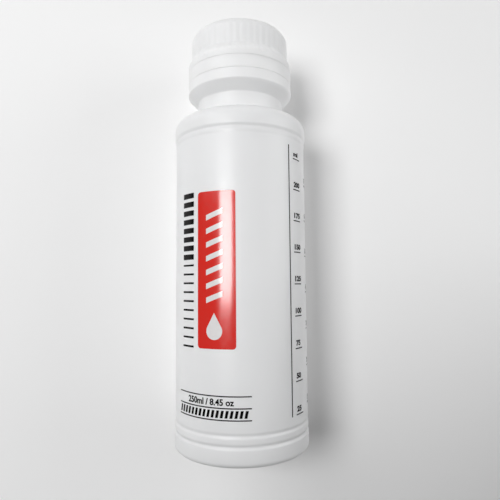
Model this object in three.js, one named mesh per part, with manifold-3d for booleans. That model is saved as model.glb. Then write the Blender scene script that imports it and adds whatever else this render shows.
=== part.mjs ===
import * as THREE from 'three';
import { mergeVertices } from 'three/addons/utils/BufferGeometryUtils.js';
import Module from 'manifold-3d';

// Oil and fuel mixing bottle with a fluted screw cap, in millimetres, +Z up.
// The origin is the centre of the foot. The print faces -Y, and angles run from there towards +X.

const wasm = await Module();
wasm.setup();

// Body wall, foot and base
const bodyRadius = 26.5;
const bodyWall = 0.8;
const footProud = 0.25;
const heelRound = 2;
const footRingWidth = 6;
const pushUpDepth = 1.6;
const pushUpRun = 2.2;

// Two shallow grooves above the foot
const grooveDepth = 0.4;
const grooveWidth = 1;
const grooveRamp = 0.4;
const lowerGrooveHeight = 7.4;
const upperGrooveHeight = 11.2;

// Graduations: every tick stands for the same volume in the straight wall, in cubic millimetres
const gradedVolume = 25000;
const gradeCount = 9;
const firstGradeGap = 3.6;
const wallAboveGrades = 7.3;

// Bead and plain band under the shoulder
const beadGap = 0.7;
const beadWidth = 1.5;
const beadProud = 0.25;
const bandProud = 0.5;
const bandHeight = 3.7;

// Shoulder, neck and the hollow collar above it
const shoulderRound = 5;
const shoulderSlope = 14;
const neckRadius = 17.6;
const neckWall = 1.3;
const neckLength = 7;
const neckFillet = 0.8;
const collarRadius = 21.6;
const collarFlare = 2.9;
const collarHeight = 4.5;
const collarRound = 0.7;

// Threaded finish with its locking bead
const finishRadius = 17.3;
const finishWall = 1.8;
const finishHeight = 18.3;
const rimRound = 0.3;
const lockBeadDepth = 1.4;
const lockBeadWidth = 0.8;
const lockBeadRamp = 1;

// Thread of the finish and of the cap
const threadPitch = 4;
const threadDepth = 1.2;
const threadRootWidth = 2.5;
const threadCrestWidth = 1.3;
const neckThreadTurns = 1.25;
const capThreadTurns = 1;
const neckThreadDrop = 1.8;
const threadRunOut = 30;
const ridgeSink = 0.3;
const ridgeTip = 0.1;

// Cap and tamper ring
const capWall = 1.3;
const capTopThickness = 1.6;
const capEdgeRound = 3.6;
const skirtProud = 1.3;
const skirtFlare = 2.4;
const skirtHeight = 3;
const smoothSkirtHeight = 1.9;
const skirtWall = 1.6;
const fluteCount = 48;
const fluteDepth = 0.3;
const ringHeight = 4.6;
const ringLipHeight = 1.6;
const edgeBreak = 0.25;
const linerThickness = 1;

// Clearances
const seatGap = 0.3;
const threadGap = 0.4;
const inkGap = 0.02;

// Printed films; foot gaps are measured from the upper groove and top gaps from the bead
const inkThickness = 0.1;
const redPanelFromTurn = -36.5;
const redPanelToTurn = -4;
const redPanelFootGap = 28.9;
const redPanelTopGap = 21.4;
const ruleFromTurn = -59.5;
const ruleToTurn = 7.6;
const ruleFootGap = 4.4;
const ruleStep = 4.1;
const ruleWidth = 0.4;
const scaleLineTurn = 44.1;
const scaleLineWidth = 0.4;
const scaleLineFootGap = 3.3;
const scaleLineTopGap = 2.4;
const gradeFromTurn = 49.7;
const gradeToTurn = 60.6;
const gradeWidth = 0.4;

// Facets in a full turn
const wallFacets = 48;
const capFacets = 3 * fluteCount;

// Heights worked out from the sizes above
const footRadius = bodyRadius + footProud;
const grooveTop = upperGrooveHeight + grooveWidth / 2 + grooveRamp;
const firstGrade = grooveTop + firstGradeGap;
const gradeStep = gradedVolume / (Math.PI * (bodyRadius - bodyWall) ** 2);
const wallHeight = firstGrade + (gradeCount - 1) * gradeStep + wallAboveGrades;
const bandRadius = bodyRadius + bandProud;
const beadFoot = wallHeight + beadGap;
const bandFoot = beadFoot + beadWidth + beadGap;
const bandTop = bandFoot + bandHeight;
const slope = THREE.MathUtils.degToRad(shoulderSlope);
const shoulderEdge = bandRadius - shoulderRound * (1 - Math.sin(slope));
const shoulderEdgeHeight = bandTop + shoulderRound * Math.cos(slope);
const neckFoot = shoulderEdgeHeight + (shoulderEdge - neckRadius) * Math.tan(slope);
const neckTop = neckFoot + neckLength;
const collarFoot = neckTop + collarFlare;
const collarTop = collarFoot + collarHeight;
const mouthHeight = collarTop + finishHeight;
const finishBore = finishRadius - finishWall;
const threadRadius = finishRadius + threadDepth;

// Cap sizes worked out from the finish
const capBore = threadRadius + threadGap;
const capRadius = capBore + capWall;
const skirtRadius = capRadius + skirtProud;
const ringFoot = collarTop + seatGap;
const ringTop = ringFoot + ringHeight;
const capFoot = ringTop + seatGap;
const linerFoot = mouthHeight + seatGap;
const capCeiling = linerFoot + linerThickness + seatGap;
const capTop = capCeiling + capTopThickness;
const skirtTop = capFoot + skirtHeight;
const fluteFoot = capFoot + smoothSkirtHeight;

// Thread centre lines: the cap's runs half a pitch below the neck's
const neckThreadFoot = mouthHeight - neckThreadDrop - threadPitch * neckThreadTurns;
const capThreadFoot = skirtTop + skirtFlare;
const capThreadLag = (capThreadFoot + threadPitch / 2 - neckThreadFoot) * 360 / threadPitch;

function point(radius, height) {
  return new THREE.Vector2(radius, height);
}

// Points on an arc, both ends included; degrees run anticlockwise from +radius
function arc(centreRadius, centreHeight, round, from, to, steps) {
  return Array.from({ length: steps + 1 }, (_, i) => {
    const angle = THREE.MathUtils.degToRad(from + (to - from) * i / steps);
    return point(centreRadius + round * Math.cos(angle), centreHeight + round * Math.sin(angle));
  });
}

// Shared vertices merged and collapsed triangles dropped, so that the surface is closed
function closed(geometry) {
  geometry.deleteAttribute('normal');
  geometry.deleteAttribute('uv');
  const merged = mergeVertices(geometry, 1e-4);
  const index = merged.index.array;
  const kept = [];
  for (let i = 0; i < index.length; i += 3) {
    const [a, b, c] = index.slice(i, i + 3);
    if (a !== b && b !== c && c !== a) kept.push(a, b, c);
  }
  merged.setIndex(kept);
  return merged;
}

// A profile turned about +Z; it starts and ends on the axis or closes on itself
function turned(profile, facets) {
  const geometry = new THREE.LatheGeometry(profile, facets);
  geometry.rotateX(Math.PI / 2);
  return closed(geometry);
}

function toSolid(geometry) {
  return new wasm.Manifold(new wasm.Mesh({
    numProp: 3,
    vertProperties: Float32Array.from(geometry.attributes.position.array),
    triVerts: Uint32Array.from(geometry.index.array),
  }));
}

function toGeometry(solid) {
  const mesh = solid.getMesh();
  const geometry = new THREE.BufferGeometry();
  geometry.setAttribute('position', new THREE.BufferAttribute(mesh.vertProperties, 3));
  geometry.setIndex(new THREE.BufferAttribute(mesh.triVerts, 1));
  return geometry;
}

// A box whose length is bent around +Z; place(along, out, up) gives [radius, degrees, height]
// for along from 0 to 1, out 0 or 1 and up -1 or 1
function bentBox(steps, place) {
  const geometry = new THREE.BoxGeometry(1, 1, 1, steps, 1, 1);
  const position = geometry.attributes.position;
  for (let i = 0; i < position.count; i += 1) {
    const along = position.getX(i) + 0.5;
    const out = 0.5 - position.getY(i);
    const up = 2 * position.getZ(i);
    const [radius, degrees, height] = place(along, out, up);
    const angle = THREE.MathUtils.degToRad(degrees);
    position.setXYZ(i, radius * Math.sin(angle), -radius * Math.cos(angle), height);
  }
  return closed(geometry);
}

// A helical ridge that stands from the root radius to the crest radius, sunk a little into its wall
function threadRidge(rootRadius, crestRadius, foot, startTurn, turns) {
  const sink = ridgeSink * Math.sign(crestRadius - rootRadius);
  const base = rootRadius - sink;
  const sweep = 360 * turns;
  return bentBox(Math.round(wallFacets * turns), (along, out, up) => {
    const fromEnd = Math.min(along, 1 - along) * sweep;
    const fade = Math.max(ridgeTip, Math.min(1, fromEnd / threadRunOut));
    const crest = base + (crestRadius - base) * fade;
    const low = Math.min(base, crest);
    const high = Math.max(base, crest);
    const radius = out ? high : low;
    const atCrest = radius === crest;
    const width = atCrest ? threadCrestWidth : threadRootWidth;
    return [radius, startTurn + along * sweep, foot + threadPitch * turns * along + up * width / 2];
  });
}

function grooveAt(height, below, above) {
  const floor = bodyRadius - grooveDepth;
  const half = grooveWidth / 2;
  return [
    point(below, height - half - grooveRamp),
    point(floor, height - half),
    point(floor, height + half),
    point(above, height + half + grooveRamp),
  ];
}

function bottle() {
  const pushUpRadius = footRadius - heelRound - footRingWidth;
  const landRadius = bodyRadius + footProud / 2;
  const outside = [
    point(0, pushUpDepth),
    point(pushUpRadius - pushUpRun, pushUpDepth),
    point(pushUpRadius, 0),
    ...arc(footRadius - heelRound, heelRound, heelRound, -90, 0, 4),
    ...grooveAt(lowerGrooveHeight, footRadius, landRadius),
    ...grooveAt(upperGrooveHeight, landRadius, bodyRadius),
    point(bodyRadius, wallHeight),
    point(bodyRadius - beadProud, wallHeight + beadGap / 2),
    point(bodyRadius + beadProud, beadFoot),
    point(bodyRadius + beadProud, beadFoot + beadWidth),
    point(bodyRadius, beadFoot + beadWidth + beadGap / 2),
    point(bandRadius, bandFoot),
    ...arc(bandRadius - shoulderRound, bandTop, shoulderRound, 0, 90 - shoulderSlope, 5),
    point(neckRadius + neckFillet, neckFoot - neckFillet * Math.tan(slope)),
    point(neckRadius, neckFoot + neckFillet),
    point(neckRadius, neckTop - neckFillet / 2),
    point(neckRadius + neckFillet / 2, neckTop),
    point(collarRadius - collarRound, collarFoot - collarRound / 2),
    ...arc(collarRadius - collarRound, collarFoot + collarRound, collarRound, -45, 0, 2),
    ...arc(collarRadius - collarRound, collarTop - collarRound, collarRound, 0, 90, 3),
    point(finishRadius, collarTop),
    ...lockBead(),
    point(finishRadius, mouthHeight - rimRound),
    point(finishRadius - rimRound, mouthHeight),
  ];
  const cavityRadius = collarRadius - neckWall;
  const neckBore = neckRadius - neckWall;
  const innerRound = shoulderRound - bodyWall;
  const innerEdge = bandRadius - shoulderRound + innerRound * Math.sin(slope);
  const innerEdgeHeight = bandTop + innerRound * Math.cos(slope);
  const heelInside = heelRound - bodyWall;
  const cornerShift = bodyWall * Math.tan(Math.PI / 8);
  const inside = [
    point(finishBore + rimRound, mouthHeight),
    point(finishBore, mouthHeight - rimRound),
    point(finishBore, collarTop - neckWall),
    point(cavityRadius - collarRound, collarTop - neckWall),
    point(cavityRadius, collarTop - neckWall - collarRound),
    point(cavityRadius, collarFoot + neckWall / 2),
    point(neckBore, neckTop + neckWall / 2),
    point(neckBore, innerEdgeHeight + (innerEdge - neckBore) * Math.tan(slope)),
    ...arc(bandRadius - shoulderRound, bandTop, innerRound, 90 - shoulderSlope, 0, 4),
    point(bandRadius - bodyWall, bandFoot),
    point(bodyRadius - bodyWall, wallHeight),
    ...arc(bodyRadius - heelRound, heelRound, heelInside, 0, -90, 3),
    point(pushUpRadius + cornerShift, bodyWall),
    point(pushUpRadius - pushUpRun + cornerShift, pushUpDepth + bodyWall),
    point(0, pushUpDepth + bodyWall),
  ];
  const shell = toSolid(turned([...outside, ...inside], wallFacets));
  const ridge = toSolid(threadRidge(finishRadius, threadRadius, neckThreadFoot, 0, neckThreadTurns));
  return toGeometry(shell.add(ridge));
}

// A bead with a flat underside that holds the tamper ring down
function lockBead() {
  const foot = ringFoot + ringLipHeight + seatGap;
  const radius = finishRadius + lockBeadDepth;
  return [
    point(finishRadius, foot),
    point(radius, foot + seatGap),
    point(radius, foot + lockBeadWidth),
    point(finishRadius, foot + lockBeadWidth + lockBeadRamp),
  ];
}

// Every third edge of the fluted wall is cut back, from the smooth skirt up to the rounded edge
function cutFlutes(geometry) {
  const position = geometry.attributes.position;
  for (let i = 0; i < position.count; i += 1) {
    const x = position.getX(i);
    const y = position.getY(i);
    const radius = Math.hypot(x, y);
    const facet = Math.round(Math.atan2(x, -y) * capFacets / (2 * Math.PI));
    const height = position.getZ(i);
    const fluted = height > fluteFoot + edgeBreak && height < capTop - capEdgeRound + edgeBreak;
    if (facet % 3 === 0 && fluted && radius > capBore) {
      const cut = 1 - fluteDepth / radius;
      position.setX(i, x * cut);
      position.setY(i, y * cut);
    }
  }
  return geometry;
}

function screwCap() {
  const skirtBore = skirtRadius - skirtWall;
  const outside = [
    point(0, capFoot),
    point(skirtRadius - edgeBreak, capFoot),
    point(skirtRadius, capFoot + edgeBreak),
    point(skirtRadius, fluteFoot),
    point(skirtRadius, fluteFoot + 2 * edgeBreak),
    point(skirtRadius, skirtTop),
    point(capRadius, skirtTop + skirtFlare),
    ...arc(capRadius - capEdgeRound, capTop - capEdgeRound, capEdgeRound, 0, 90, 4),
    point(0, capTop),
  ];
  const hollow = [
    point(0, capFoot - seatGap),
    point(skirtBore, capFoot - seatGap),
    point(skirtBore, skirtTop - skirtProud),
    point(capBore, skirtTop),
    point(capBore, capCeiling - edgeBreak),
    point(capBore - edgeBreak, capCeiling),
    point(0, capCeiling),
  ];
  const shell = toSolid(cutFlutes(turned(outside, capFacets)));
  const ridge = threadRidge(capBore, finishRadius + threadGap, capThreadFoot, capThreadLag, capThreadTurns);
  return toGeometry(shell.subtract(toSolid(turned(hollow, wallFacets))).add(toSolid(ridge)));
}

function tamperRing() {
  const bore = skirtRadius - skirtWall - seatGap;
  const lipRadius = finishRadius + lockBeadDepth / 2;
  const profile = [
    point(lipRadius, ringFoot),
    point(skirtRadius - edgeBreak, ringFoot),
    point(skirtRadius, ringFoot + edgeBreak),
    point(skirtRadius, ringTop - edgeBreak),
    point(skirtRadius - edgeBreak, ringTop),
    point(bore, ringTop),
    point(bore, ringFoot + ringLipHeight),
    point(lipRadius, ringFoot + ringLipHeight - edgeBreak),
    point(lipRadius, ringFoot),
  ];
  return turned(profile, wallFacets);
}

function capLiner() {
  const radius = capBore - seatGap;
  const profile = [
    point(0, linerFoot),
    point(radius, linerFoot),
    point(radius, linerFoot + linerThickness),
    point(0, linerFoot + linerThickness),
  ];
  return turned(profile, wallFacets);
}

// A film that follows the flats of the body wall between two turns and two heights
function film(fromTurn, toTurn, fromHeight, toHeight) {
  const step = 360 / wallFacets;
  const edges = [fromTurn];
  for (let facet = Math.floor(fromTurn / step) + 1; facet * step < toTurn; facet += 1) edges.push(facet * step);
  edges.push(toTurn);
  const flat = (bodyRadius + inkGap) * Math.cos(Math.PI / wallFacets);
  return bentBox(edges.length - 1, (along, out, up) => {
    const degrees = edges[Math.round(along * (edges.length - 1))];
    const middle = (Math.floor(degrees / step) + 0.5) * step;
    const stretch = Math.cos(THREE.MathUtils.degToRad(degrees - middle));
    return [(flat + out * inkThickness) / stretch, degrees, up < 0 ? fromHeight : toHeight];
  });
}

const colours = {
  milky: new THREE.MeshStandardMaterial({ color: 0xe4e6e8, roughness: 0.35, metalness: 0 }),
  white: new THREE.MeshStandardMaterial({ color: 0xeeeff0, roughness: 0.4, metalness: 0 }),
  foam: new THREE.MeshStandardMaterial({ color: 0xf4f4f2, roughness: 0.8, metalness: 0 }),
  red: new THREE.MeshStandardMaterial({ color: 0xde3730, roughness: 0.35, metalness: 0 }),
  black: new THREE.MeshStandardMaterial({ color: 0x0a0708, roughness: 0.4, metalness: 0 }),
};

const group = new THREE.Group();

function addPiece(name, geometry, material) {
  const mesh = new THREE.Mesh(geometry, material);
  mesh.name = name;
  group.add(mesh);
}

addPiece('bottle', bottle(), colours.milky);
addPiece('tamper_ring', tamperRing(), colours.white);
addPiece('cap_liner', capLiner(), colours.foam);
addPiece('screw_cap', screwCap(), colours.white);

const redPanelFoot = grooveTop + redPanelFootGap;
const redPanelTop = wallHeight - redPanelTopGap;
addPiece('red_panel', film(redPanelFromTurn, redPanelToTurn, redPanelFoot, redPanelTop), colours.red);

['lower_rule', 'middle_rule', 'upper_rule'].forEach((name, i) => {
  const foot = grooveTop + ruleFootGap + i * ruleStep - ruleWidth / 2;
  addPiece(name, film(ruleFromTurn, ruleToTurn, foot, foot + ruleWidth), colours.black);
});

const scaleLineHalf = THREE.MathUtils.radToDeg(scaleLineWidth / 2 / bodyRadius);
const scaleLineFrom = scaleLineTurn - scaleLineHalf;
const scaleLineTo = scaleLineTurn + scaleLineHalf;
const scaleLineFoot = grooveTop + scaleLineFootGap;
const scaleLineTop = wallHeight - scaleLineTopGap;
addPiece('scale_line', film(scaleLineFrom, scaleLineTo, scaleLineFoot, scaleLineTop), colours.black);

for (let i = 0; i < gradeCount; i += 1) {
  const foot = firstGrade + i * gradeStep - gradeWidth / 2;
  addPiece(`grade_${i + 1}`, film(gradeFromTurn, gradeToTurn, foot, foot + gradeWidth), colours.black);
}

export default group;
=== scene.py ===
import math

import bmesh
import bpy
from mathutils import Matrix, Vector


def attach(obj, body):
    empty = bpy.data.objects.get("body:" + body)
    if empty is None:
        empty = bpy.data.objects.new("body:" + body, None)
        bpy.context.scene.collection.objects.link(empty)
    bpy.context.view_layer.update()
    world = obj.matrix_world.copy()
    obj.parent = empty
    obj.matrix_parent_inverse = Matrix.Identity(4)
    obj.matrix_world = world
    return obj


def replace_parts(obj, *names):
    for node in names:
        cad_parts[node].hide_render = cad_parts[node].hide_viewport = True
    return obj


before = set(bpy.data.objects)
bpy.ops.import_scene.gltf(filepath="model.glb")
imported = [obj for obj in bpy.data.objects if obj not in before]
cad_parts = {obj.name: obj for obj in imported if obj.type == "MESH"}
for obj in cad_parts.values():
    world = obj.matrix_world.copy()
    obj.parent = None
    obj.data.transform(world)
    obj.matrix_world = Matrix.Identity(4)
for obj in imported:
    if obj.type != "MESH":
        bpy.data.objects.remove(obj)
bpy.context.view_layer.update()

# Sizes of the bottle, in millimetres, as the frame has them
MM = 0.001
BODY_RADIUS = 26.5
BODY_WALL = 0.8
FOOT_PROUD = 0.25
HEEL_ROUND = 2.0
FOOT_RING_WIDTH = 6.0
PUSH_UP_DEPTH = 1.6
PUSH_UP_RUN = 2.2
GROOVE_WIDTH = 1.0
GROOVE_RAMP = 0.4
GROOVE_HEIGHTS = (7.4, 11.2)
GRADED_VOLUME = 25000.0
GRADE_COUNT = 9
FIRST_GRADE_GAP = 3.6
WALL_ABOVE_GRADES = 7.3
BEAD_GAP = 0.7
BEAD_WIDTH = 1.5
BAND_PROUD = 0.5
BAND_HEIGHT = 3.7
SHOULDER_ROUND = 5.0
SHOULDER_SLOPE = math.radians(14)
NECK_RADIUS = 17.6
NECK_WALL = 1.3
NECK_LENGTH = 7.0
NECK_FILLET = 0.8
COLLAR_RADIUS = 21.6
COLLAR_FLARE = 2.9
COLLAR_HEIGHT = 4.5
COLLAR_ROUND = 0.7
FINISH_RADIUS = 17.3
FINISH_WALL = 1.8
FINISH_HEIGHT = 18.3
RIM_ROUND = 0.3
LOCK_BEAD_DEPTH = 1.4
LOCK_BEAD_WIDTH = 0.8
LOCK_BEAD_RAMP = 1.0

# Thread, cap and tamper ring
THREAD_PITCH = 4.0
THREAD_DEPTH = 1.2
THREAD_ROOT_WIDTH = 2.5
THREAD_CREST_WIDTH = 1.3
NECK_THREAD_TURNS = 1.25
CAP_THREAD_TURNS = 1.0
NECK_THREAD_DROP = 1.8
THREAD_RUN_OUT = math.radians(30)
RIDGE_SINK = 0.3
RIDGE_TIP = 0.05
CREST_SHOULDER = 0.15
CREST_SPREAD = 0.1
CREST_FLAT = 0.6
CAP_WALL = 1.3
CAP_TOP = 1.6
CAP_EDGE_ROUND = 3.6
SKIRT_PROUD = 1.3
SKIRT_FLARE = 2.4
SKIRT_HEIGHT = 3.0
SMOOTH_SKIRT = 1.9
SKIRT_WALL = 1.6
FLUTES = 48
RING_HEIGHT = 4.6
RING_LIP_HEIGHT = 1.6
LIP_START = 0.5
EDGE_BREAK = 0.25
LINER_THICKNESS = 1.0
SEAT_GAP = 0.3
THREAD_GAP = 0.4

# Forms that are softer here than in the frame, or that only the scene has
BEAD_PROUD = 0.18
BEAD_DIP = 0.03
GROOVE_DEPTH = 0.22
COLLAR_TOP_ROUND = 0.3
FLUTE_DEPTH = 0.16
FLUTE_FADE = 1.2
FLUTE_SHARPNESS = 1.4
HAIRLINE = 0.03
GATE_RADIUS = 0.7
GATE_EDGE = 0.2
GATE_DEPTH = 0.25
OUTSIDE_SOFTNESS = 0.35
INSIDE_SOFTNESS = 0.5
CAP_SOFTNESS = 0.25
RING_SOFTNESS = 0.12

# Heights and radii that follow from them
FOOT_RADIUS = BODY_RADIUS + FOOT_PROUD
PUSH_UP_RADIUS = FOOT_RADIUS - HEEL_ROUND - FOOT_RING_WIDTH
GROOVE_TOP = GROOVE_HEIGHTS[1] + GROOVE_WIDTH / 2 + GROOVE_RAMP
FIRST_GRADE = GROOVE_TOP + FIRST_GRADE_GAP
GRADE_STEP = GRADED_VOLUME / (math.pi * (BODY_RADIUS - BODY_WALL) ** 2)
WALL_HEIGHT = FIRST_GRADE + (GRADE_COUNT - 1) * GRADE_STEP + WALL_ABOVE_GRADES
BAND_RADIUS = BODY_RADIUS + BAND_PROUD
BEAD_FOOT = WALL_HEIGHT + BEAD_GAP
BEAD_TOP = BEAD_FOOT + BEAD_WIDTH
BAND_FOOT = BEAD_TOP + BEAD_GAP
BAND_TOP = BAND_FOOT + BAND_HEIGHT
SHOULDER_SWEEP = 90 - math.degrees(SHOULDER_SLOPE)
SHOULDER_EDGE = BAND_RADIUS - SHOULDER_ROUND * (1 - math.sin(SHOULDER_SLOPE))
SHOULDER_EDGE_HEIGHT = BAND_TOP + SHOULDER_ROUND * math.cos(SHOULDER_SLOPE)
NECK_FOOT = SHOULDER_EDGE_HEIGHT + (SHOULDER_EDGE - NECK_RADIUS) * math.tan(SHOULDER_SLOPE)
NECK_TOP = NECK_FOOT + NECK_LENGTH
COLLAR_FOOT = NECK_TOP + COLLAR_FLARE
COLLAR_TOP = COLLAR_FOOT + COLLAR_HEIGHT
MOUTH = COLLAR_TOP + FINISH_HEIGHT
FINISH_BORE = FINISH_RADIUS - FINISH_WALL
THREAD_RADIUS = FINISH_RADIUS + THREAD_DEPTH
CAP_BORE = THREAD_RADIUS + THREAD_GAP
CAP_RADIUS = CAP_BORE + CAP_WALL
SKIRT_RADIUS = CAP_RADIUS + SKIRT_PROUD
SKIRT_BORE = SKIRT_RADIUS - SKIRT_WALL
RING_FOOT = COLLAR_TOP + SEAT_GAP
RING_TOP = RING_FOOT + RING_HEIGHT
CAP_FOOT = RING_TOP + SEAT_GAP
FLUTE_FOOT = CAP_FOOT + SMOOTH_SKIRT
SKIRT_TOP = CAP_FOOT + SKIRT_HEIGHT
CAP_CEILING = MOUTH + LINER_THICKNESS + 2 * SEAT_GAP
CAP_HEAD = CAP_CEILING + CAP_TOP
FLUTE_HEAD = CAP_HEAD - CAP_EDGE_ROUND * 0.7
NECK_THREAD_FOOT = MOUTH - NECK_THREAD_DROP - THREAD_PITCH * NECK_THREAD_TURNS
CAP_THREAD_FOOT = SKIRT_TOP + SKIRT_FLARE
CAP_THREAD_LAG = (CAP_THREAD_FOOT + THREAD_PITCH / 2 - NECK_THREAD_FOOT) / THREAD_PITCH * 2 * math.pi

# Fineness of the turned meshes
TURN_STEPS = 180
CAP_STEPS = FLUTES * 12
LONGEST_STEP = 4.0


# Profiles are lists of (radius, height) points
def arc(centre_radius, centre_height, round_radius, start, end, steps=8):
    points = []
    for i in range(steps + 1):
        angle = math.radians(start + (end - start) * i / steps)
        points.append((
            centre_radius + round_radius * math.cos(angle),
            centre_height + round_radius * math.sin(angle),
        ))
    return points


def softened(points, radius, steps=4):
    """The profile with each corner drawn as a short curve, and long straights cut up."""
    soft = [points[0]]
    for before, corner, after in zip(points, points[1:], points[2:]):
        before, corner, after = Vector(before), Vector(corner), Vector(after)
        reach_in = min(radius, (corner - before).length * 0.45)
        reach_out = min(radius, (after - corner).length * 0.45)
        start = corner + (before - corner).normalized() * reach_in
        end = corner + (after - corner).normalized() * reach_out
        for i in range(steps + 1):
            t = i / steps
            curve = start * (1 - t) ** 2 + corner * 2 * t * (1 - t) + end * t ** 2
            soft.append((curve.x, curve.y))
    soft.append(points[-1])
    cut = [soft[0]]
    for start, end in zip(soft, soft[1:]):
        gap = math.dist(start, end)
        parts = max(1, math.ceil(gap / LONGEST_STEP))
        for i in range(1, parts + 1):
            cut.append((
                start[0] + (end[0] - start[0]) * i / parts,
                start[1] + (end[1] - start[1]) * i / parts,
            ))
    return cut


def new_object(name, mesh_builder, material, crease=0):
    mesh = bpy.data.meshes.new(name)
    bmesh.ops.recalc_face_normals(mesh_builder, faces=mesh_builder.faces)
    mesh_builder.to_mesh(mesh)
    mesh_builder.free()
    mesh.shade_smooth()
    if crease:
        mesh.set_sharp_from_angle(angle=math.radians(crease))
    thing = bpy.data.objects.new(name, mesh)
    bpy.context.collection.objects.link(thing)
    mesh.materials.append(material)
    return thing


def turned(builder, profile, steps, shape=None):
    """Adds a profile turned about the Z axis. It starts and ends on the axis, or closes on itself.
    shape(radius, height, angle) may give another radius and height for a point."""
    rows = []
    for radius, height in profile:
        if radius < 1e-6:
            rows.append([builder.verts.new((0, 0, height * MM))])
            continue
        row = []
        for i in range(steps):
            angle = 2 * math.pi * i / steps
            r, z = shape(radius, height, angle) if shape else (radius, height)
            row.append(builder.verts.new((r * math.sin(angle) * MM, -r * math.cos(angle) * MM, z * MM)))
        rows.append(row)
    if profile[0][0] > 1e-6:
        rows.append(rows[0])
    for low, high in zip(rows, rows[1:]):
        for i in range(steps):
            j = (i + 1) % steps
            corners = [low[i % len(low)], low[j % len(low)], high[j % len(high)], high[i % len(high)]]
            kept = []
            for corner in corners:
                if corner not in kept:
                    kept.append(corner)
            if len(kept) > 2:
                builder.faces.new(kept)


def thread_ridge(builder, root, crest, foot, start, turns, steps_per_turn=90):
    """A helical ridge with rounded run-outs, sunk a little into the wall that carries it."""
    sink = math.copysign(RIDGE_SINK, crest - root)
    base = root - sink
    steps = round(steps_per_turn * turns)
    rings = []
    for i in range(steps + 1):
        turn = 2 * math.pi * turns * i / steps
        from_end = min(turn, 2 * math.pi * turns - turn)
        fade = max(RIDGE_TIP, math.sin(min(1.0, from_end / THREAD_RUN_OUT) * math.pi / 2))
        angle = start + turn
        middle = foot + THREAD_PITCH * turn / (2 * math.pi)
        top = base + (crest - base) * fade
        half_root, half_crest = THREAD_ROOT_WIDTH / 2, THREAD_CREST_WIDTH / 2
        section = [
            (base, -half_root),
            (top - (top - base) * CREST_SHOULDER, -half_crest - CREST_SPREAD),
            (top, -half_crest * CREST_FLAT),
            (top, half_crest * CREST_FLAT),
            (top - (top - base) * CREST_SHOULDER, half_crest + CREST_SPREAD),
            (base, half_root),
        ]
        rings.append([
            builder.verts.new((r * math.sin(angle) * MM, -r * math.cos(angle) * MM, (middle + z) * MM))
            for r, z in section
        ])
    count = len(rings[0])
    for first, second in zip(rings, rings[1:]):
        for k in range(count):
            n = (k + 1) % count
            builder.faces.new((first[k], first[n], second[n], second[k]))
    builder.faces.new(rings[0])
    builder.faces.new(list(reversed(rings[-1])))


# Materials: how fine the pebbles of the skin are, and how deep in metres
PEBBLE_SCALE = 1400.0
SKIN_DEPTH = 0.000002
INK_SKIN_DEPTH = 0.000004


def node(tree, kind, **values):
    made = tree.nodes.new(kind)
    for name, value in values.items():
        setattr(made, name, value)
    return made


def principled(name, base, roughness, **sockets):
    material = bpy.data.materials.new(name)
    material.use_nodes = True
    tree = material.node_tree
    shader = tree.nodes["Principled BSDF"]
    shader.inputs["Base Color"].default_value = (*base, 1)
    shader.inputs["Roughness"].default_value = roughness
    for socket, value in sockets.items():
        shader.inputs[socket.replace("_", " ")].default_value = value
    return material, tree, shader


def noise(tree, scale, detail=3.0, roughness=0.5):
    where = node(tree, "ShaderNodeTexCoord")
    made = node(tree, "ShaderNodeTexNoise")
    made.inputs["Scale"].default_value = scale
    made.inputs["Detail"].default_value = detail
    made.inputs["Roughness"].default_value = roughness
    tree.links.new(where.outputs["Object"], made.inputs["Vector"])
    return made


def ramp(tree, source, low, high, low_colour, high_colour):
    made = node(tree, "ShaderNodeValToRGB")
    made.color_ramp.elements[0].position = low
    made.color_ramp.elements[0].color = (*low_colour, 1)
    made.color_ramp.elements[1].position = high
    made.color_ramp.elements[1].color = (*high_colour, 1)
    tree.links.new(source, made.inputs["Fac"])
    return made


def vary_roughness(tree, shader, source, low, high):
    spread = node(tree, "ShaderNodeMapRange")
    spread.inputs["From Min"].default_value = 0.3
    spread.inputs["From Max"].default_value = 0.7
    spread.inputs["To Min"].default_value = low
    spread.inputs["To Max"].default_value = high
    tree.links.new(source, spread.inputs["Value"])
    tree.links.new(spread.outputs["Result"], shader.inputs["Roughness"])


def bump(tree, shader, layers):
    """layers is a list of (source, height in metres), the first one deepest."""
    last = None
    for source, distance in layers:
        made = node(tree, "ShaderNodeBump")
        made.inputs["Strength"].default_value = 1.0
        made.inputs["Distance"].default_value = distance
        tree.links.new(source, made.inputs["Height"])
        if last:
            tree.links.new(last.outputs["Normal"], made.inputs["Normal"])
        last = made
    tree.links.new(last.outputs["Normal"], shader.inputs["Normal"])


def painted_shade_by_height(tree, colour, painted_shades):
    """Painted shade: the colour times a grey that changes with height, given as a list of (height in mm,
    grey).
    """
    where = node(tree, "ShaderNodeTexCoord")
    split = node(tree, "ShaderNodeSeparateXYZ")
    tree.links.new(where.outputs["Object"], split.inputs["Vector"])
    share = node(tree, "ShaderNodeMapRange")
    share.inputs["From Max"].default_value = CAP_HEAD * MM
    tree.links.new(split.outputs["Z"], share.inputs["Value"])
    grey = node(tree, "ShaderNodeValToRGB")
    stops = grey.color_ramp.elements
    while len(stops) < len(painted_shades):
        stops.new(0.5)
    for stop, (height, level) in zip(stops, painted_shades):
        stop.position = height / CAP_HEAD
        stop.color = (level, level, level, 1)
    tree.links.new(share.outputs["Result"], grey.inputs["Fac"])
    mix = node(tree, "ShaderNodeMix", data_type="RGBA", blend_type="MULTIPLY")
    mix.inputs["Factor"].default_value = 1.0
    tree.links.new(colour, mix.inputs["A"])
    tree.links.new(grey.outputs["Color"], mix.inputs["B"])
    return mix.outputs["Result"]


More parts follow.
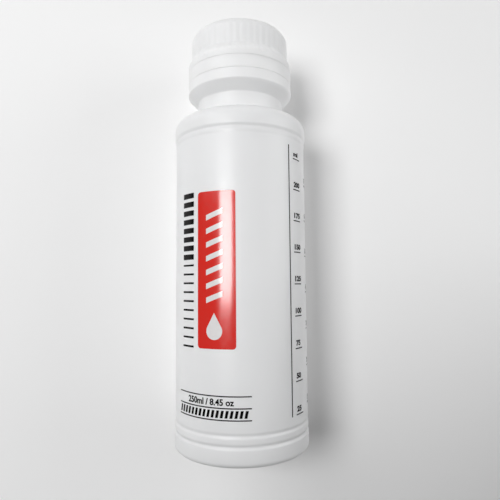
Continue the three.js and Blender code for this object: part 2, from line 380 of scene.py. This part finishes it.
def moulded_plastic(name, thin, thick, roughness, scatter, painted_shades=None):
    """Milky plastic: light scatters in it, it is faintly clouded, and its skin is finely pebbled.
    A list of heights and greys, if given, darkens it by height as painted shade."""
    material, tree, shader = principled(name, thick, roughness)
    shader.subsurface_method = "RANDOM_WALK"
    shader.inputs["Subsurface Weight"].default_value = scatter
    shader.inputs["Subsurface Radius"].default_value = (1.0, 0.95, 0.9)
    shader.inputs["Subsurface Scale"].default_value = 0.006
    shader.inputs["IOR"].default_value = 1.5
    cloud = noise(tree, 45.0, 2.0)
    tint = ramp(tree, cloud.outputs["Fac"], 0.3, 0.7, thin, thick)
    colour = tint.outputs["Color"]
    # painted shade: darker by height where a list of heights and greys is given
    if painted_shades:
        colour = painted_shade_by_height(tree, colour, painted_shades)
    tree.links.new(colour, shader.inputs["Base Color"])
    pebble = noise(tree, PEBBLE_SCALE, 2.0)
    wave = noise(tree, 160.0, 1.0)
    vary_roughness(tree, shader, noise(tree, 300.0, 4.0).outputs["Fac"], roughness - 0.05, roughness + 0.06)
    bump(tree, shader, [(wave.outputs["Fac"], SKIN_DEPTH * 2), (pebble.outputs["Fac"], SKIN_DEPTH)])
    return material


def ink(name, colour, worn, roughness, specular=0.5, coat=0.5):
    """Screen-printed ink: opaque, a little uneven in depth, over the pebbled wall."""
    material, tree, shader = principled(
        name, colour, roughness, IOR=1.5, Specular_IOR_Level=specular, Coat_Weight=coat, Coat_Roughness=0.12
    )
    cloud = noise(tree, 500.0, 4.0)
    tint = ramp(tree, cloud.outputs["Fac"], 0.35, 0.75, colour, worn)
    tree.links.new(tint.outputs["Color"], shader.inputs["Base Color"])
    pebble = noise(tree, PEBBLE_SCALE, 2.0)
    vary_roughness(tree, shader, cloud.outputs["Fac"], roughness - 0.04, roughness + 0.05)
    bump(tree, shader, [(pebble.outputs["Fac"], INK_SKIN_DEPTH)])
    return material


# Painted shade on the bottle by height: the heel and the neck are drawn darker
BOTTLE_PAINTED_SHADE = (
    (0, 0.86),
    (HEEL_ROUND + 2, 0.91),
    (GROOVE_TOP, 0.96),
    (GROOVE_TOP + 20, 1.0),
    (NECK_FOOT - 2, 1.0),
    (NECK_FOOT + 1, 0.87),
    (NECK_TOP - 1, 0.87),
    (COLLAR_FOOT, 1.0),
)
MILKY = moulded_plastic("milky_plastic", (0.95, 0.95, 0.953), (0.97, 0.97, 0.972), 0.38, 0.3, BOTTLE_PAINTED_SHADE)
CAP_PLASTIC = moulded_plastic("cap_plastic", (0.94, 0.94, 0.942), (0.96, 0.96, 0.96), 0.34, 0.3)
RED = ink("red_ink", (0.70, 0.026, 0.018), (0.66, 0.031, 0.022), 0.18)
BLACK = ink("black_ink", (0.004, 0.0035, 0.0035), (0.008, 0.007, 0.007), 0.12, specular=0.12, coat=0.0)
WHITE_INK = ink("white_ink", (0.80, 0.78, 0.78), (0.75, 0.73, 0.73), 0.20)


def foam():
    material, tree, shader = principled("liner_foam", (0.86, 0.86, 0.84), 0.8)
    cells = node(tree, "ShaderNodeTexVoronoi")
    cells.inputs["Scale"].default_value = 1500.0
    where = node(tree, "ShaderNodeTexCoord")
    tree.links.new(where.outputs["Object"], cells.inputs["Vector"])
    bump(tree, shader, [(cells.outputs["Distance"], 0.00005)])
    tint = ramp(tree, noise(tree, 200.0).outputs["Fac"], 0.3, 0.7, (0.82, 0.82, 0.80), (0.88, 0.88, 0.86))
    tree.links.new(tint.outputs["Color"], shader.inputs["Base Color"])
    return material


FOAM = foam()


# The bottle
def groove(height, below, above):
    floor = BODY_RADIUS - GROOVE_DEPTH
    half = GROOVE_WIDTH / 2
    return [
        (below, height - half - GROOVE_RAMP),
        (floor, height - half / 2),
        (floor, height + half / 2),
        (above, height + half + GROOVE_RAMP),
    ]


def bottle_outside():
    land_radius = BODY_RADIUS + FOOT_PROUD / 2
    lock_foot = RING_FOOT + RING_LIP_HEIGHT + SEAT_GAP
    lock_radius = FINISH_RADIUS + LOCK_BEAD_DEPTH
    return [
        (0, PUSH_UP_DEPTH),
        (PUSH_UP_RADIUS - PUSH_UP_RUN, PUSH_UP_DEPTH),
        (PUSH_UP_RADIUS, 0),
        *arc(FOOT_RADIUS - HEEL_ROUND, HEEL_ROUND, HEEL_ROUND, -90, 0),
        *groove(GROOVE_HEIGHTS[0], FOOT_RADIUS, land_radius),
        *groove(GROOVE_HEIGHTS[1], land_radius, BODY_RADIUS),
        (BODY_RADIUS, WALL_HEIGHT - BEAD_GAP),
        (BODY_RADIUS - BEAD_DIP, WALL_HEIGHT + BEAD_GAP / 3),
        (BODY_RADIUS + BEAD_PROUD, BEAD_FOOT + BEAD_GAP / 2),
        (BODY_RADIUS + BEAD_PROUD, BEAD_TOP - BEAD_GAP / 2),
        (BODY_RADIUS + BEAD_DIP, BEAD_TOP + BEAD_GAP / 2),
        (BAND_RADIUS, BAND_FOOT + BEAD_GAP),
        *arc(BAND_RADIUS - SHOULDER_ROUND, BAND_TOP, SHOULDER_ROUND, 0, SHOULDER_SWEEP, 12),
        (NECK_RADIUS + NECK_FILLET, NECK_FOOT - NECK_FILLET * math.tan(SHOULDER_SLOPE)),
        (NECK_RADIUS, NECK_FOOT + NECK_FILLET),
        (NECK_RADIUS, NECK_TOP - NECK_FILLET / 2),
        (NECK_RADIUS + NECK_FILLET / 2, NECK_TOP),
        (COLLAR_RADIUS - COLLAR_ROUND, COLLAR_FOOT - COLLAR_ROUND / 2),
        *arc(COLLAR_RADIUS - COLLAR_ROUND, COLLAR_FOOT + COLLAR_ROUND, COLLAR_ROUND, -45, 0, 4),
        *arc(COLLAR_RADIUS - COLLAR_TOP_ROUND, COLLAR_TOP - COLLAR_TOP_ROUND, COLLAR_TOP_ROUND, 0, 90, 6),
        (FINISH_RADIUS, COLLAR_TOP),
        (FINISH_RADIUS, lock_foot),
        (lock_radius, lock_foot + SEAT_GAP),
        (lock_radius, lock_foot + LOCK_BEAD_WIDTH),
        (FINISH_RADIUS, lock_foot + LOCK_BEAD_WIDTH + LOCK_BEAD_RAMP),
        (FINISH_RADIUS, MOUTH - RIM_ROUND),
        (FINISH_RADIUS - RIM_ROUND, MOUTH),
    ]


def bottle_inside():
    cavity = COLLAR_RADIUS - NECK_WALL
    bore = NECK_RADIUS - NECK_WALL
    round_inside = SHOULDER_ROUND - BODY_WALL
    edge = BAND_RADIUS - SHOULDER_ROUND + round_inside * math.sin(SHOULDER_SLOPE)
    edge_height = BAND_TOP + round_inside * math.cos(SHOULDER_SLOPE)
    corner_shift = BODY_WALL * math.tan(math.pi / 8)
    return [
        (FINISH_BORE + RIM_ROUND, MOUTH),
        (FINISH_BORE, MOUTH - RIM_ROUND),
        (FINISH_BORE, COLLAR_TOP - NECK_WALL),
        (cavity - COLLAR_ROUND, COLLAR_TOP - NECK_WALL),
        (cavity, COLLAR_TOP - NECK_WALL - COLLAR_ROUND),
        (cavity, COLLAR_FOOT + NECK_WALL / 2),
        (bore, NECK_TOP + NECK_WALL / 2),
        (bore, edge_height + (edge - bore) * math.tan(SHOULDER_SLOPE)),
        *arc(BAND_RADIUS - SHOULDER_ROUND, BAND_TOP, round_inside, SHOULDER_SWEEP, 0),
        (BAND_RADIUS - BODY_WALL, BAND_FOOT),
        (BODY_RADIUS - BODY_WALL, WALL_HEIGHT),
        *arc(BODY_RADIUS - HEEL_ROUND, HEEL_ROUND, HEEL_ROUND - BODY_WALL, 0, -90, 6),
        (PUSH_UP_RADIUS + corner_shift, BODY_WALL),
        (PUSH_UP_RADIUS - PUSH_UP_RUN + corner_shift, PUSH_UP_DEPTH + BODY_WALL),
        (0, PUSH_UP_DEPTH + BODY_WALL),
    ]


def build_bottle():
    builder = bmesh.new()
    outside = softened(bottle_outside(), OUTSIDE_SOFTNESS)
    inside = softened(bottle_inside(), INSIDE_SOFTNESS)
    turned(builder, outside + inside, TURN_STEPS)
    thread_ridge(builder, FINISH_RADIUS, THREAD_RADIUS, NECK_THREAD_FOOT, 0, NECK_THREAD_TURNS)
    bottle = new_object("bottle_shell", builder, MILKY)
    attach(bottle, "bottle")
    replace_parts(bottle, "bottle")


# The cap and the ring that it leaves behind
def fluted(radius, height, angle):
    from_foot = (height - FLUTE_FOOT) / (2 * EDGE_BREAK)
    to_round = (FLUTE_HEAD - height) / FLUTE_FADE
    share = max(0.0, min(1.0, from_foot)) * max(0.0, min(1.0, to_round))
    wave = (0.5 + 0.5 * math.cos(FLUTES * angle)) ** FLUTE_SHARPNESS
    return radius - FLUTE_DEPTH * share * wave, height


def build_cap():
    top_flat = CAP_RADIUS - CAP_EDGE_ROUND
    outside = softened([
        (SKIRT_BORE, CAP_FOOT),
        (SKIRT_RADIUS - HAIRLINE, CAP_FOOT),
        (SKIRT_RADIUS, CAP_FOOT + HAIRLINE),
        (SKIRT_RADIUS, FLUTE_FOOT),
        (SKIRT_RADIUS, SKIRT_TOP),
        (CAP_RADIUS, SKIRT_TOP + SKIRT_FLARE),
        *arc(top_flat, CAP_HEAD - CAP_EDGE_ROUND, CAP_EDGE_ROUND, 0, 90, 12),
        (GATE_RADIUS + GATE_EDGE, CAP_HEAD),
        (GATE_RADIUS, CAP_HEAD - GATE_DEPTH),
        (0, CAP_HEAD - GATE_DEPTH),
    ], CAP_SOFTNESS)
    inside = softened([
        (0, CAP_CEILING),
        (CAP_BORE, CAP_CEILING),
        (CAP_BORE, SKIRT_TOP),
        (SKIRT_BORE, SKIRT_TOP - SKIRT_PROUD),
        (SKIRT_BORE, CAP_FOOT),
    ], CAP_SOFTNESS)
    flute_rings = [
        (SKIRT_RADIUS, FLUTE_FOOT + EDGE_BREAK * share) for share in (0.0, 0.5, 1.0, 1.5, 2.0)
    ]
    at = next(i for i, point in enumerate(outside) if point[1] >= FLUTE_FOOT)
    outside[at:at] = [ring for ring in flute_rings if ring[1] < outside[at][1]]
    builder = bmesh.new()

    def shape(radius, height, angle):
        on_outside = radius > CAP_BORE + CAP_WALL / 2 or height > CAP_CEILING + 2 * EDGE_BREAK
        inner_skirt = radius <= SKIRT_BORE + 0.01 and height < SKIRT_TOP
        if not on_outside or inner_skirt:
            return radius, height
        return fluted(radius, height, angle)

    turned(builder, inside[:-1] + outside, CAP_STEPS, shape)
    thread_ridge(
        builder, CAP_BORE, FINISH_RADIUS + THREAD_GAP, CAP_THREAD_FOOT, CAP_THREAD_LAG, CAP_THREAD_TURNS
    )
    cap = new_object("fluted_cap", builder, CAP_PLASTIC)
    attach(cap, "cap")
    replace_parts(cap, "screw_cap")


def build_ring():
    bore = SKIRT_BORE - SEAT_GAP
    lip_radius = FINISH_RADIUS + LOCK_BEAD_DEPTH / 2
    builder = bmesh.new()
    low, high = COLLAR_TOP + HAIRLINE, CAP_FOOT - HAIRLINE
    profile = softened([
        (lip_radius + LIP_START, low),
        (SKIRT_RADIUS, low),
        (SKIRT_RADIUS, high),
        (bore, high),
        (bore, RING_FOOT + RING_LIP_HEIGHT),
        (lip_radius, RING_FOOT + RING_LIP_HEIGHT - EDGE_BREAK),
        (lip_radius, low),
        (lip_radius + LIP_START, low),
    ], RING_SOFTNESS)
    turned(builder, profile[:-1], TURN_STEPS)
    ring = new_object("tamper_band", builder, CAP_PLASTIC)
    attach(ring, "bottle")
    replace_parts(ring, "tamper_ring")


# Print: flat shapes in millimetres round the wall (x) and up it (y), bent onto the wall
INK_LIFT = 0.02
INK_DEPTH = 0.06
INK_CUT = 0.8
OVERPRINT = 0.02


def bent_ink(name, curve, material, at=(0, 0), size=None, lift=0.0):
    """A filled flat curve or text, thickened, moved to (mm round, mm up) and bent onto the wall.
    size, if given, is the width and height that the flat shape is drawn out to."""
    curve.extrude = INK_DEPTH / 2
    curve.resolution_u = 6
    flat = bpy.data.objects.new(name + "_flat", curve)
    bpy.context.collection.objects.link(flat)
    bpy.context.view_layer.update()
    mesh = bpy.data.meshes.new_from_object(flat)
    bpy.data.objects.remove(flat)
    builder = bmesh.new()
    builder.from_mesh(mesh)
    bpy.data.meshes.remove(mesh)
    if size:
        xs = [v.co.x for v in builder.verts]
        ys = [v.co.y for v in builder.verts]
        wide, tall = max(xs) - min(xs), max(ys) - min(ys)
        for v in builder.verts:
            v.co.x = (v.co.x - min(xs)) * size[0] / wide
            v.co.y = (v.co.y - min(ys)) * size[1] / tall
    for v in builder.verts:
        v.co.x += at[0]
        v.co.y += at[1]
    low = min(v.co.x for v in builder.verts)
    high = max(v.co.x for v in builder.verts)
    for i in range(1, math.ceil((high - low) / INK_CUT)):
        bmesh.ops.bisect_plane(
            builder,
            geom=builder.verts[:] + builder.edges[:] + builder.faces[:],
            plane_co=(low + i * INK_CUT, 0, 0),
            plane_no=(1, 0, 0),
        )
    bmesh.ops.remove_doubles(builder, verts=builder.verts, dist=1e-5)
    for v in builder.verts:
        radius = BODY_RADIUS + INK_LIFT + lift + v.co.z
        angle = v.co.x / BODY_RADIUS
        v.co = (radius * math.sin(angle) * MM, -radius * math.cos(angle) * MM, v.co.y * MM)
    piece = new_object(name, builder, material, crease=30)
    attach(piece, "bottle")
    return piece


def outline(shapes):
    """A filled flat curve with straight sides from lists of (x, y) corners."""
    curve = bpy.data.curves.new("outline", "CURVE")
    curve.dimensions = "2D"
    curve.fill_mode = "BOTH"
    for corners in shapes:
        spline = curve.splines.new("POLY")
        spline.points.add(len(corners) - 1)
        for spot, (x, y) in zip(spline.points, corners):
            spot.co = (x, y, 0, 1)
        spline.use_cyclic_u = True
    return curve


def box(left, low, right, high, slant=0.0):
    return [(left, low), (right, low), (right + slant, high), (left + slant, high)]


def rounded_box(left, low, right, high, corner):
    centres = ((right, high, 0), (left, high, 90), (left, low, 180), (right, low, 270))
    points = []
    for x, y, start in centres:
        x -= math.copysign(corner, x - (left + right) / 2)
        y -= math.copysign(corner, y - (low + high) / 2)
        points += arc(x, y, corner, start, start + 90, 5)
    return points


def drop(x, low, radius, height):
    """An oil drop: round below, drawn out to a point above."""
    centre = low + radius
    lean = math.degrees(math.asin(radius / (height - radius)))
    return arc(x, centre, radius, -180 - lean, lean, 24) + [(x, low + height)]


def lettering(text, boldness):
    curve = bpy.data.curves.new("lettering", "FONT")
    curve.body = text
    curve.offset = boldness
    return curve


def around(degrees):
    """Millimetres round the wall at an angle from the front."""
    return math.radians(degrees) * BODY_RADIUS


# Places of the print: turns in degrees from the front, all else in millimetres
RED_TURN = (-36.5, -4.0)
RED_FOOT_GAP = 28.9
RED_TOP_GAP = 21.4
RED_CORNER = 1.2
RULE_TURN = (-59.5, 7.6)
RULE_FOOT_GAP = 4.4
RULE_STEP = 4.1
RULE_WIDTH = 0.4
SCALE_TURN = 44.1
SCALE_WIDTH = 0.45
SCALE_FOOT_GAP = 3.3
SCALE_TOP_GAP = 2.4
GRADE_TURN = (49.7, 60.6)
GRADE_WIDTH = 0.4
OUNCE_STEP = 14.26
OUNCE_FOOT = 17.9
OUNCE_TURN = (73.5, 83.0)
OUNCE_COUNT = 7
BARS_TURN = (-55.0, -41.2)
BARS_STEP = 3.3
# name, foot of the lowest bar, width and number of bars
BARS = (
    ("thick_bars", 73.2, 2.0, 8),
    ("thin_bars", 41.0, 0.7, 10),
)
PANEL_SHIFT = 0.6
DROP_FOOT = 3.2
DROP_RADIUS = 3.1
DROP_HEIGHT = 9.6
DASH_COUNT = 7
DASH_FOOT = 16.2
DASH_STEP = 5.0
DASH_REACH = 3.2
DASH_RISE = 2.4
DASH_WIDTH = 2.0
CAPACITY_TURN = -47.0
CAPACITY_GAP = 0.85
CAPACITY_SIZE = (19.0, 2.35)
MARK_COUNT = 17
MARK_INSET = 0.3
MARK_MARGIN = 1.2
MARK_GAP = 0.75
MARK_WIDTH = 1.0
MARK_SLANT = 0.55
TEXT_GAP = 0.95
NUMBER_INSET = 0.4
NUMBER_MARGIN = 0.5
DIGIT_WIDTH = 1.35
DIGIT_HEIGHT = 2.1
UNIT_HEIGHT = 1.8
OUNCE_INSET = 0.6
OUNCE_WIDTH = 1.4
OUNCE_ONE_WIDTH = 0.6
BOLDNESS = 0.028
SCALE_BOLDNESS = 0.045


def print_red_panel():
    left, right = around(RED_TURN[0]), around(RED_TURN[1])
    low, high = GROOVE_TOP + RED_FOOT_GAP, WALL_HEIGHT - RED_TOP_GAP
    shape = rounded_box(left, low, right, high, RED_CORNER)
    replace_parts(bent_ink("red_field", outline([shape]), RED), "red_panel")
    middle = (left + right) / 2 - PANEL_SHIFT
    shapes = [drop(middle, low + DROP_FOOT, DROP_RADIUS, DROP_HEIGHT)]
    for i in range(DASH_COUNT):
        foot = low + DASH_FOOT + DASH_STEP * i
        shapes.append([
            (middle - DASH_REACH, foot),
            (middle + DASH_REACH, foot + DASH_RISE),
            (middle + DASH_REACH, foot + DASH_RISE + DASH_WIDTH),
            (middle - DASH_REACH, foot + DASH_WIDTH),
        ])
    bent_ink("panel_marks", outline(shapes), WHITE_INK, lift=OVERPRINT)


def print_bars():
    """Two stacks of bars beside the red field: thick ones above and thin ones below."""
    left, right = around(BARS_TURN[0]), around(BARS_TURN[1])
    for name, foot, width, count in BARS:
        feet = [foot + BARS_STEP * i for i in range(count)]
        bars = [box(left, low, right, low + width) for low in feet]
        bent_ink(name, outline(bars), BLACK)


def print_rules():
    left, right = around(RULE_TURN[0]), around(RULE_TURN[1])
    feet = [GROOVE_TOP + RULE_FOOT_GAP + i * RULE_STEP for i in range(3)]
    for name, height in zip(("lower_rule", "middle_rule", "upper_rule"), feet):
        shape = box(left, height - RULE_WIDTH / 2, right, height + RULE_WIDTH / 2)
        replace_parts(bent_ink(name + "_ink", outline([shape]), BLACK), name)
    spot = (around(CAPACITY_TURN), feet[1] + CAPACITY_GAP)
    bent_ink("capacity", lettering("250ml / 8.45 oz", BOLDNESS), BLACK, spot, CAPACITY_SIZE)
    pitch = (right - left - MARK_MARGIN) / MARK_COUNT
    starts = [left + MARK_INSET + pitch * i for i in range(MARK_COUNT)]
    low, high = feet[0] + MARK_GAP, feet[1] - MARK_GAP
    marks = [box(start, low, start + MARK_WIDTH, high, MARK_SLANT) for start in starts]
    bent_ink("slanted_marks", outline(marks), BLACK)


def print_scale():
    middle = around(SCALE_TURN)
    low, high = GROOVE_TOP + SCALE_FOOT_GAP, WALL_HEIGHT - SCALE_TOP_GAP
    shape = box(middle - SCALE_WIDTH / 2, low, middle + SCALE_WIDTH / 2, high)
    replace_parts(bent_ink("scale_line_ink", outline([shape]), BLACK), "scale_line")
    left, right = around(GRADE_TURN[0]), around(GRADE_TURN[1])
    for i in range(GRADE_COUNT):
        height = FIRST_GRADE + i * GRADE_STEP
        shape = box(left, height - GRADE_WIDTH / 2, right, height + GRADE_WIDTH / 2)
        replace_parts(bent_ink(f"grade_{i + 1}_ink", outline([shape]), BLACK), f"grade_{i + 1}")
        last = i + 1 == GRADE_COUNT
        text = "ml" if last else str(25 * (i + 1))
        size = (DIGIT_WIDTH * len(text) + NUMBER_MARGIN, UNIT_HEIGHT if last else DIGIT_HEIGHT)
        spot = (left + NUMBER_INSET, height + TEXT_GAP)
        bent_ink(f"number_{i + 1}", lettering(text, SCALE_BOLDNESS), BLACK, spot, size)
    left, right = around(OUNCE_TURN[0]), around(OUNCE_TURN[1])
    for i in range(OUNCE_COUNT):
        height = OUNCE_FOOT + i * OUNCE_STEP
        shape = box(left, height - GRADE_WIDTH / 2, right, height + GRADE_WIDTH / 2)
        bent_ink(f"ounce_tick_{i + 1}", outline([shape]), BLACK)
        size = (OUNCE_WIDTH if i else OUNCE_ONE_WIDTH, DIGIT_HEIGHT)
        spot = (left + OUNCE_INSET, height + TEXT_GAP)
        bent_ink(f"ounce_{i + 1}", lettering(str(i + 1), SCALE_BOLDNESS), BLACK, spot, size)


# Stage, lights and camera: lengths in metres, but the sheet's gap behind the bottle in millimetres
SHEET_GAP = 0.2
SHEET_HALF = 1.2
AIM = (0, 0, 0.085)
# name, degrees from the front, height, distance, size of the panel, watts, aim
LIGHTS = (
    ("window", -24.5, 0.14, 0.60, (0.216, 0.21), 2.15, (0, 0, 0.14)),
    ("upper_left_fill", -45, 0.596, 0.737, (0.7, 0.7), 2.6, AIM),
    ("right_fill", 70, 0.20, 0.60, (0.4, 0.4), 1.5, AIM),
    ("front_fill", 40, 0.08, 0.90, (0.6, 0.6), 0.6, AIM),
    ("back_fill", 180, 0.09, 0.5, (0.4, 0.4), 0.6, AIM),
)
WORLD_STRENGTH = 0.045
FLAG_FRONT_Y = -0.25
FLAG_RIGHT_X = 0.29
FOCAL_PIXELS = 454.3
PICTURE_PIXELS = 500
SENSOR_MM = 36
CAMERA_DISTANCE = 0.18845
CAMERA_HEIGHT = 0.0638
CAMERA_PITCH, CAMERA_YAW, CAMERA_ROLL = (math.radians(turn) for turn in (4.343, 1.158, -0.474))


def pale(name, colour):
    material, tree, shader = principled(name, colour, 0.85)
    cloud = noise(tree, 6.0, 2.0)
    tint = ramp(tree, cloud.outputs["Fac"], 0.3, 0.7, colour, tuple(c * 1.02 for c in colour))
    tree.links.new(tint.outputs["Color"], shader.inputs["Base Color"])
    return material, tree, shader


def build_stage():
    """A pale flat sheet close behind the bottle. It isn't seen from behind and holds back no light."""
    material, tree, shader = pale("pale_sweep", (0.92, 0.92, 0.92))
    geometry = node(tree, "ShaderNodeNewGeometry")
    clear = node(tree, "ShaderNodeBsdfTransparent")
    mix = node(tree, "ShaderNodeMixShader")
    tree.links.new(geometry.outputs["Backfacing"], mix.inputs["Fac"])
    tree.links.new(shader.outputs["BSDF"], mix.inputs[1])
    tree.links.new(clear.outputs["BSDF"], mix.inputs[2])
    tree.links.new(mix.outputs["Shader"], tree.nodes["Material Output"].inputs["Surface"])
    wall = (BAND_RADIUS + SHEET_GAP) * MM
    corners = [(x, wall, z) for x, z in box(-SHEET_HALF, -SHEET_HALF, SHEET_HALF, SHEET_HALF)]
    builder = bmesh.new()
    builder.faces.new([builder.verts.new(corner) for corner in corners])
    mesh = bpy.data.meshes.new("pale_sweep")
    builder.to_mesh(mesh)
    builder.free()
    mesh.shade_smooth()
    sweep = bpy.data.objects.new("pale_sweep", mesh)
    mesh.materials.append(material)
    bpy.context.collection.objects.link(sweep)
    sweep.visible_shadow = False


def build_flags():
    """Two dark cards out of the picture that shade the sheet's lower right corner."""
    material = pale("flag_cloth", (0.04, 0.04, 0.04))[0]
    front = [(x, FLAG_FRONT_Y, z) for x, z in box(-0.07, -0.03, 0.07, 0.06)]
    right = [(FLAG_RIGHT_X, y, z) for y, z in box(-0.09, -0.04, 0.02, 0.07)]
    for name, corners in (("front_flag", front), ("right_flag", right)):
        builder = bmesh.new()
        builder.faces.new([builder.verts.new(corner) for corner in corners])
        new_object(name, builder, material)


def area_light(name, azimuth, height, distance, size, power, aim):
    data = bpy.data.lights.new(name, "AREA")
    data.shape = "RECTANGLE"
    data.size, data.size_y = size
    data.energy = power
    light = bpy.data.objects.new(name, data)
    angle = math.radians(azimuth)
    light.location = (math.sin(angle) * distance, -math.cos(angle) * distance, height)
    light.rotation_euler = (Vector(aim) - light.location).to_track_quat("-Z", "Y").to_euler()
    bpy.context.collection.objects.link(light)


def build_lights():
    world = bpy.data.worlds.new("studio")
    bpy.context.scene.world = world
    world.use_nodes = True
    background = world.node_tree.nodes["Background"]
    background.inputs["Color"].default_value = (1, 1, 1, 1)
    background.inputs["Strength"].default_value = WORLD_STRENGTH
    for light in LIGHTS:
        area_light(*light)


def build_camera():
    data = bpy.data.cameras.new("camera")
    data.sensor_width = SENSOR_MM
    data.lens = FOCAL_PIXELS / PICTURE_PIXELS * SENSOR_MM
    data.clip_start = 0.005
    camera = bpy.data.objects.new("camera", data)
    ahead = math.cos(CAMERA_PITCH)
    forward = Vector((math.sin(CAMERA_YAW) * ahead, math.cos(CAMERA_YAW) * ahead, math.sin(CAMERA_PITCH)))
    level = Vector((math.cos(CAMERA_YAW), -math.sin(CAMERA_YAW), 0))
    above = level.cross(forward)
    right = level * math.cos(CAMERA_ROLL) + above * math.sin(CAMERA_ROLL)
    up = above * math.cos(CAMERA_ROLL) - level * math.sin(CAMERA_ROLL)
    turn = Matrix((right, up, -forward)).transposed()
    camera.matrix_world = Matrix.Translation((0, -CAMERA_DISTANCE, CAMERA_HEIGHT)) @ turn.to_4x4()
    bpy.context.collection.objects.link(camera)
    bpy.context.scene.camera = camera


build_camera()
build_bottle()
build_cap()
build_ring()
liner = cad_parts["cap_liner"]
liner.data.materials.clear()
liner.data.materials.append(FOAM)
print_red_panel()
print_bars()
print_rules()
print_scale()
build_stage()
build_lights()
build_flags()
bpy.context.scene.view_settings.view_transform = "Standard"
